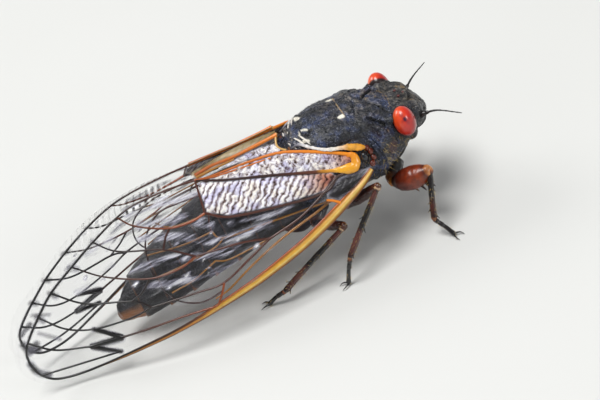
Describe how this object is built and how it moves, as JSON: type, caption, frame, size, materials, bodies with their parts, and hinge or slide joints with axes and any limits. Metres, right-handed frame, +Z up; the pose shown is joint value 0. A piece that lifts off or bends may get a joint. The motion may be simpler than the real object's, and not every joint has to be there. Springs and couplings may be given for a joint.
{
  "type": "periodical cicada model",
  "caption": "Life-size still model of a black periodical cicada with red eyes, standing with its veined, orange-edged wings folded like a roof over the body",
  "frame": {"origin": "on the floor, below the middle of the model's bounding box", "axes": "+Z up, +X towards the head, +Y the animal's left"},
  "size_m": [0.0426, 0.0182, 0.0133],
  "materials": {
    "shell": "black insect shell with a blue-grey bloom, fine speckles and a few pale marks",
    "abdomen": "near-black rings with golden brown hind edges and an orange tip",
    "eye": "glossy red compound eye",
    "feeler": "thin black bristle",
    "thigh": "glossy red-brown shell with pale orange ends",
    "shank": "black and red-brown banded shell with fine hairs",
    "forewing": "clear creased membrane with orange and dark veins",
    "hindwing": "clear membrane with golden veins"
  },
  "bodies": {
    "root": {"head": "shell", "prothorax": "shell", "mesothorax": "shell", "metathorax": "shell", "beak": "shell", "abdomen_1": "abdomen", "abdomen_2": "abdomen", "abdomen_3": "abdomen", "abdomen_4": "abdomen", "abdomen_5": "abdomen", "abdomen_6": "abdomen", "abdomen_7": "abdomen", "abdomen_tip": "abdomen", "eye_left": "eye", "antenna_left": "feeler", "forewing_left": "forewing", "hindwing_left": "hindwing", "coxa_front_left": "shell", "femur_front_left": "thigh", "tibia_front_left": "shank", "tarsus_front_left": "shank", "coxa_mid_left": "shell", "femur_mid_left": "thigh", "tibia_mid_left": "shank", "tarsus_mid_left": "shank", "coxa_hind_left": "shell", "femur_hind_left": "thigh", "tibia_hind_left": "shank", "tarsus_hind_left": "shank", "eye_right": "eye", "antenna_right": "feeler", "forewing_right": "forewing", "hindwing_right": "hindwing", "coxa_front_right": "shell", "femur_front_right": "thigh", "tibia_front_right": "shank", "tarsus_front_right": "shank", "coxa_mid_right": "shell", "femur_mid_right": "thigh", "tibia_mid_right": "shank", "tarsus_mid_right": "shank", "coxa_hind_right": "shell", "femur_hind_right": "thigh", "tibia_hind_right": "shank", "tarsus_hind_right": "shank"}
  },
  "joints": []
}
